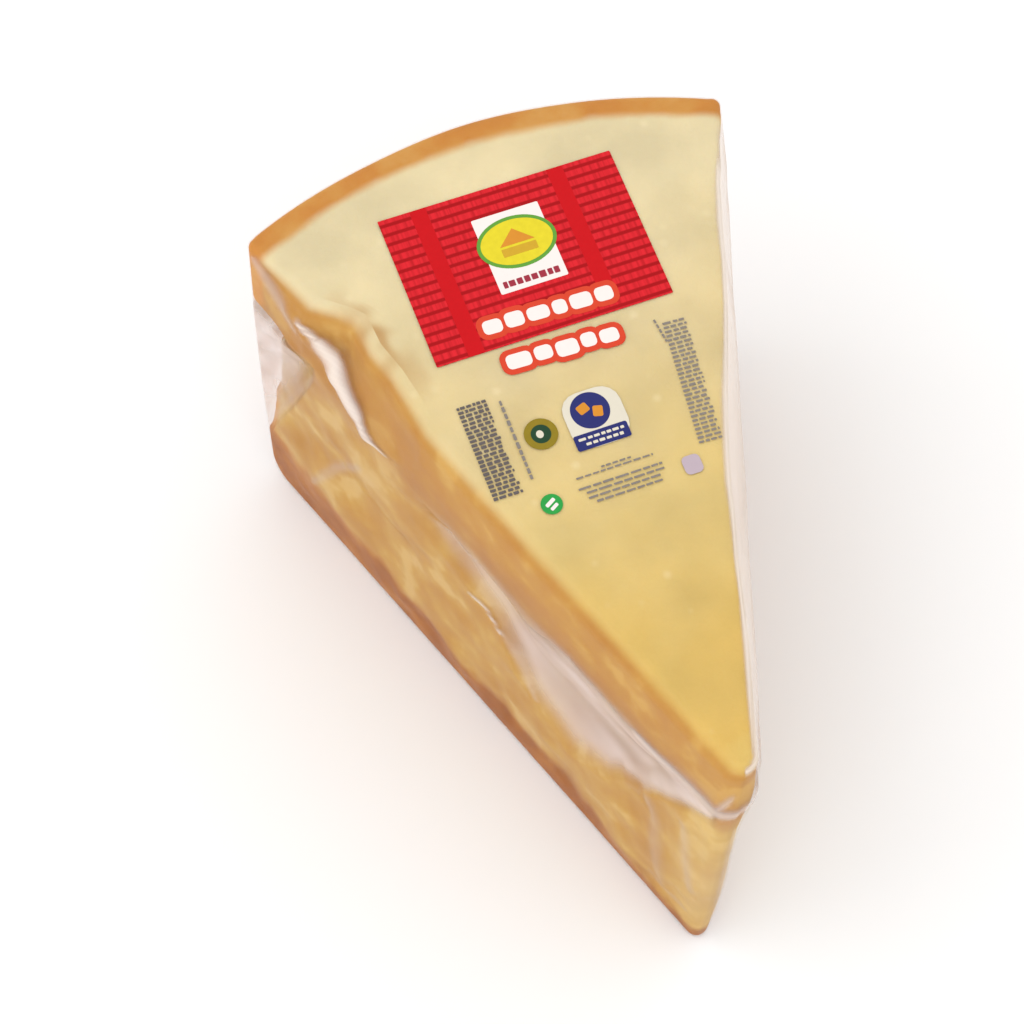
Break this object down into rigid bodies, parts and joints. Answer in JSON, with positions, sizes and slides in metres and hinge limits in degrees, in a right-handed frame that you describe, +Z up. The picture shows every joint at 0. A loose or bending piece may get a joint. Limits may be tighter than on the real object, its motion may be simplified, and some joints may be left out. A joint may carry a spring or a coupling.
{
  "type": "wrapped cheese wedge",
  "caption": "Wedge of hard grating cheese from the lower half of a wheel, with rind behind and broken sides, shrink-wrapped in clear printed film.",
  "frame": {"origin": "under the middle of the wedge's box, on the surface it stands on", "axes": "+Z up, square to the flat wheel face it rests on; +Y from the tip towards the rind, along the wedge's length; +X across the wedge, to the right when looking from the tip towards the rind"},
  "size_m": [0.1322, 0.1968, 0.13],
  "materials": {
    "film": "glossy",
    "cheese": "satin",
    "print": "satin"
  },
  "bodies": {
    "root": {"wrapped_wedge": "film"}
  },
  "joints": []
}
